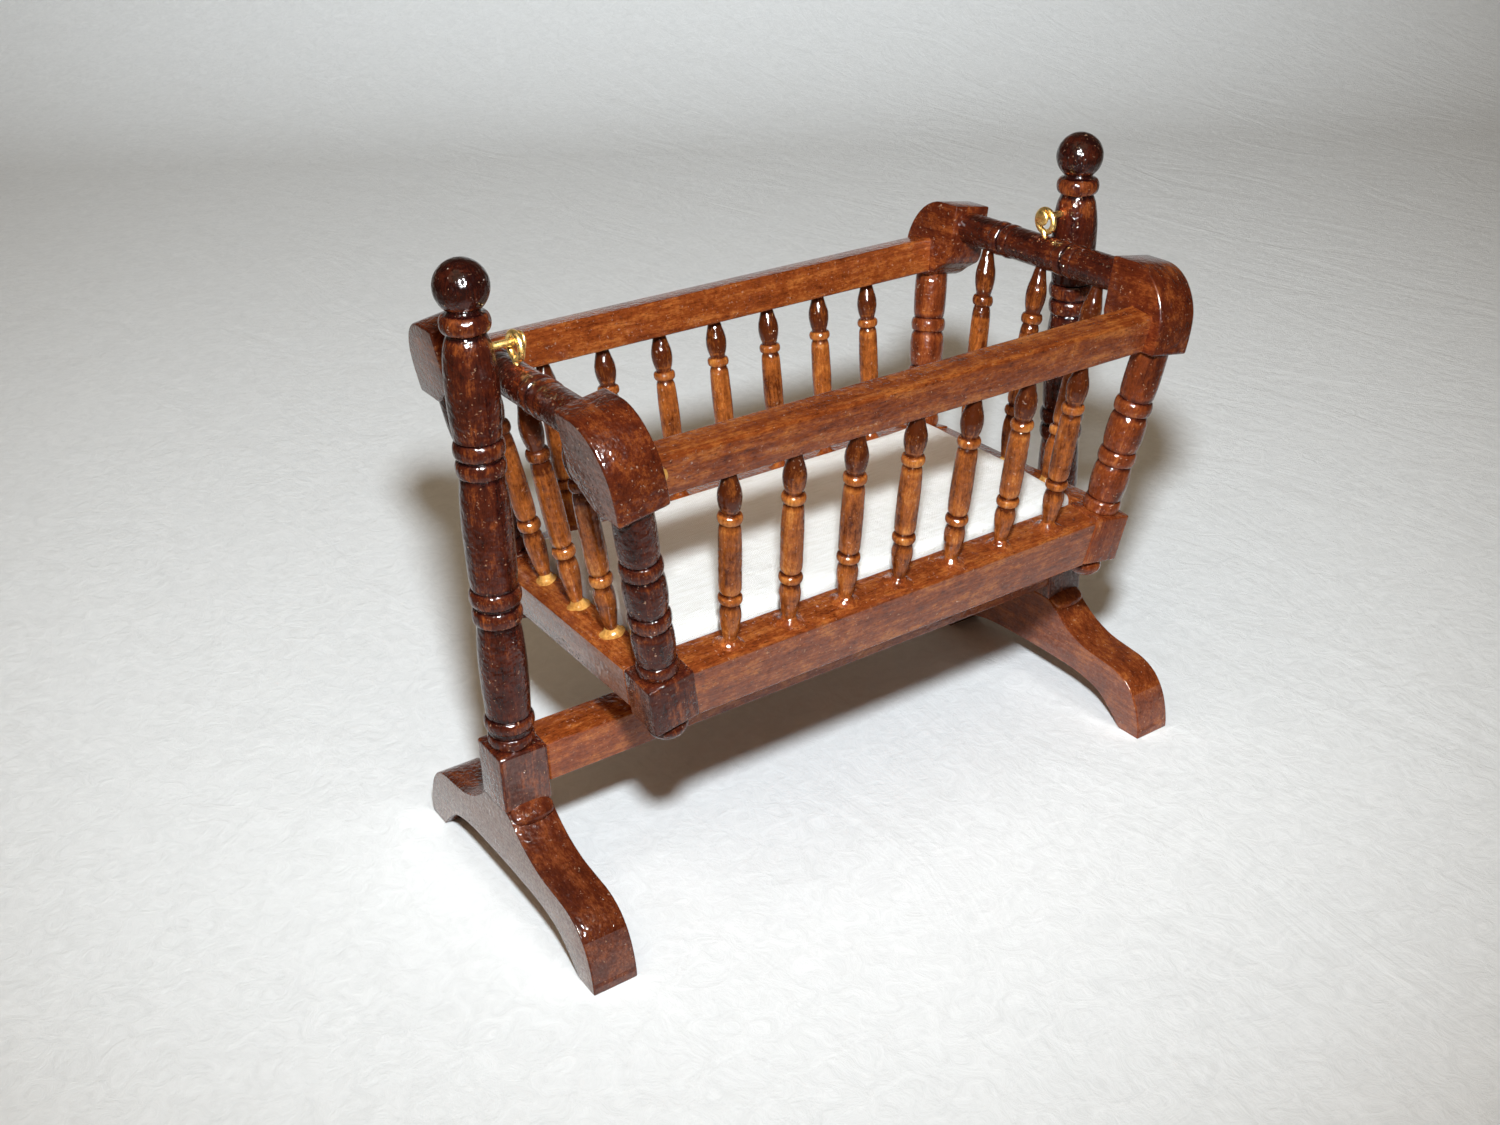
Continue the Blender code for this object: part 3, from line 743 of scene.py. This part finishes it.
for word, face in FACES.items():
    in_front = face < 0
    top = side_rail(face, -3.13, 1.32, SIDE_SPINDLE_TOP, 31.1, SHOULDER_HALF, 0.45)
    piece("top_side_rail_" + word, top, RAIL, "cradle", FLANK[face], ["top_rail_" + word], "X",
          6.0 + face, (0.0, 0.03) if in_front else None)
    bottom = side_rail(face, -3.22, 2.74, -7.1, SPINDLE_FOOT, CORNER_BLOCK_X, 0.35)
    piece("bottom_side_rail_" + word, bottom, RAIL, "cradle", FLANK[face],
          ["bottom_rail_" + word], "X", 8.0 + face, (0.0, 0.12) if in_front else None)

    tall = SIDE_SPINDLE_TOP - SPINDLE_FOOT
    for k in range(7):
        step = k - 3
        number = "%s_%d" % (word, k + 1)
        place = FLANK[face] @ at((step * SIDE_SPINDLE_GAP, 0, SPINDLE_FOOT))
        body = turned(SPINDLE, 28, (step * SIDE_SPINDLE_FAN, 0.0), tall, seed=k + 11 * face)
        # The spindle heads are darker here, as painted shade under the top rail.
        piece("turned_spindle_" + number, mark_valleys(body, dark_above=0.81 * tall), HONEY,
              "cradle", place, ["spindle_" + number], "Z", k + 8.0 * face)
        lacquer_pool("lacquer_" + number, place, k + 1.7 * face, 1.3, RAIL)

piece("basket_floor", box((-35.8, -16.5, 37.4), (35.8, 16.5, 38.9), 0.15), RAIL, "cradle", None,
      ["floor_panel"], "X", 5.0)

# ---------------------------------------------------------------- mattress

SIM = 10.0  # the cloth is simulated ten times as large, where Blender's cloth behaves
FRAMES = 16
MOST_SWELL = 0.0045  # metres at the simulated size
PAD_START = (36.5, 17.2, 38.98, 44.2)  # half length, half width, underside and top before swelling
PAD_BASE, PAD_TOP = 38.95, 44.9
PAD_X, PAD_Y = 36.1, 16.8  # half size between the spindles, below the height where it may bulge
BULGE_Z, BULGE_X, BULGE_Y = 42.25, 1.0, 0.9


def swell(pad):
    """Blows the pad up as cloth."""
    cloth = pad.modifiers.new("cloth", "CLOTH")
    cloth.settings.quality = 5
    cloth.settings.mass = 0.3
    cloth.settings.tension_stiffness = cloth.settings.compression_stiffness = 18
    cloth.settings.use_pressure = True
    cloth.settings.uniform_pressure_force = 4.0
    cloth.settings.effector_weights.gravity = 0.0
    cloth.point_cache.frame_start, cloth.point_cache.frame_end = 1, FRAMES
    for moment in range(1, FRAMES + 1):
        scene.frame_set(moment)
    bpy.ops.object.modifier_apply(modifier="cloth")
    scene.frame_set(1)


def padded_mattress():
    """A thin stuffed pad: swelled as cloth, then set flat on the panel between the rails."""
    half_x, half_y, low, high = PAD_START
    data = box((-half_x, -half_y, low), (half_x, half_y, high), 0.6, 3)
    bmesh.ops.scale(data, vec=(SIM * MM,) * 3, verts=data.verts)
    mesh = bpy.data.meshes.new("pad")
    data.to_mesh(mesh)
    data.free()
    pad = bpy.data.objects.new("mattress_pad", mesh)
    scene.collection.objects.link(pad)
    bpy.context.view_layer.objects.active = pad
    remesh = pad.modifiers.new("even", "REMESH")
    remesh.mode = "VOXEL"
    remesh.voxel_size = 0.0075
    bpy.ops.object.select_all(action="DESELECT")
    pad.select_set(True)
    bpy.ops.object.modifier_apply(modifier="even")
    start = [v.co.copy() for v in pad.data.vertices]
    swell(pad)
    for v, first in zip(pad.data.vertices, start):
        move = v.co - first
        if move.length > MOST_SWELL:
            move *= MOST_SWELL / move.length
        v.co = first + move
    shape = bmesh.new()
    shape.from_mesh(pad.data)
    bpy.data.objects.remove(pad, do_unlink=True)
    bmesh.ops.scale(shape, vec=(1 / SIM / MM,) * 3, verts=shape.verts)
    top = max(v.co.z for v in shape.verts)
    for v in shape.verts:
        x, y = v.co.x, v.co.y
        z = PAD_BASE + (max(v.co.z, PAD_BASE) - PAD_BASE) * (PAD_TOP - PAD_BASE) / (top - PAD_BASE)
        z -= 0.8 * clamp((-y - 2.0) / 14) * clamp((z - 41.0) / 2)  # it lies lower at the front
        over = clamp((z - BULGE_Z) / 0.35)
        reach_x, reach_y = PAD_X + BULGE_X * over, PAD_Y + BULGE_Y * over
        v.co = (clamp(x, -reach_x, reach_x), clamp(y, -reach_y, reach_y), z)
    return shape


pad = piece("padded_mattress", padded_mattress(), COTTON, "mattress", None, ["mattress"], sharp=180)
finer = pad.modifiers.new("finer", "SUBSURF")
finer.levels = finer.render_levels = 1

# ---------------------------------------------------------------- floor

AWAY = Vector((0.5543, 0.8323, 0.0))  # level, the way the camera looks
ACROSS = Vector((0.8323, -0.5543, 0.0))
BEND_AT, BEND = 0.42, 0.32  # the backdrop curves up from here, with this radius

sweep = [(-1.5, 0.0), (-0.6, 0.0), (-0.2, 0.0), (0.1, 0.0)]
sweep += [(BEND_AT + BEND * math.sin(a), BEND * (1 - math.cos(a)))
          for a in (math.pi / 2 * k / 16 for k in range(17))]
sweep += [(BEND_AT + BEND, 1.6)]
ground = bmesh.new()
rows = [[ground.verts.new(AWAY * s + ACROSS * t + Vector((0, 0, z)))
         for t in (-2.0, -0.7, 0.0, 0.7, 2.0)] for s, z in sweep]
for near, far in zip(rows, rows[1:]):
    for k in range(4):
        ground.faces.new((near[k], near[k + 1], far[k + 1], far[k]))
bmesh.ops.recalc_face_normals(ground, faces=ground.faces)
ground_mesh = bpy.data.meshes.new("floor")
ground.to_mesh(ground_mesh)
ground.free()
ground_mesh.shade_smooth()
ground_mesh.materials.append(floor_material())
floor = bpy.data.objects.new("floor", ground_mesh)
scene.collection.objects.link(floor)

# ---------------------------------------------------------------- camera and light

EYE = Vector((-0.121954, -0.167297, 0.144534))
FORWARD = Vector((0.49153, 0.73798, -0.46236))
RIGHT = Vector((0.82499, -0.56463, -0.02417))
UP = Vector((0.27890, 0.36956, 0.88636))
CENTRE = Vector((0.0, 0.0, 0.045))
FLASH_STRENGTH = 57.5  # the same at every distance, as from a wide flash far off
FLASH_COLOUR = (0.855, 0.93, 1.0)
GLINT_POWER = 45.0  # watts that only the gloss sees
BEAM = math.radians(94)

camera_data = bpy.data.cameras.new("camera")
camera_data.lens, camera_data.sensor_width = 38.0, 36.0
camera_data.clip_start, camera_data.clip_end = 0.005, 20.0
camera = bpy.data.objects.new("camera", camera_data)
facing = Matrix((RIGHT, UP, -FORWARD)).transposed().to_4x4()
camera.matrix_world = Matrix.Translation(EYE) @ facing
scene.collection.objects.link(camera)
scene.camera = camera

world = bpy.data.worlds.new("studio")
world.use_nodes = True
background = world.node_tree.nodes["Background"]
background.inputs["Color"].default_value = (1.0, 0.76, 0.52, 1.0)
background.inputs["Strength"].default_value = 0.085
scene.world = world


def light(name, kind, spot, target, power, colour=(1.0, 1.0, 1.0), **settings):
    """A lamp aimed at a point."""
    data = bpy.data.lights.new(name, kind)
    data.energy = power
    data.color = colour
    for key, value in settings.items():
        setattr(data, key, value)
    lamp = bpy.data.objects.new(name, data)
    lamp.location = spot
    lamp.rotation_mode = "QUATERNION"
    lamp.rotation_quaternion = (Vector(target) - Vector(spot)).to_track_quat("-Z", "Y")
    scene.collection.objects.link(lamp)
    return lamp


flash = light("flash", "SPOT", EYE + UP * 0.048 + RIGHT * 0.004,
              EYE + FORWARD * 0.3 + UP * 0.015 - RIGHT * 0.012, 1.0, FLASH_COLOUR,
              spot_size=BEAM, spot_blend=1.0, shadow_soft_size=0.009)
flash.data.use_nodes = True
lamp_tree = flash.data.node_tree
even = add(lamp_tree, "ShaderNodeLightFalloff", None, Strength=FLASH_STRENGTH).outputs["Constant"]
lamp_tree.links.new(even, lamp_tree.nodes["Emission"].inputs["Strength"])

glint = light("glint", "SPOT", flash.location, CENTRE, GLINT_POWER, spot_size=BEAM,
              spot_blend=0.6, shadow_soft_size=0.009)
glint.visible_diffuse = False

behind = light("behind", "AREA", AWAY * 0.5 + Vector((0.02, 0.0, 0.13)), CENTRE, 1.0,
               (1.0, 0.93, 0.86), shape="RECTANGLE", size=0.5, size_y=0.12)
behind.visible_camera = behind.visible_glossy = False
lit = bpy.data.collections.new("lit_from_behind")  # all of the object, and not the floor
for shown in scene.objects:
    if shown.type == "MESH" and shown != floor:
        lit.objects.link(shown)
behind.light_linking.receiver_collection = lit

light("ceiling", "AREA", (-0.42, -0.40, 0.75), (-0.30, -0.30, 0.0), 2.3, (1.0, 0.74, 0.48),
      shape="RECTANGLE", size=0.9, size_y=0.9)

scene.view_settings.view_transform = "Standard"
scene.view_settings.look = "None"
scene.view_settings.exposure = 0.0

bpy.context.view_layer.update()
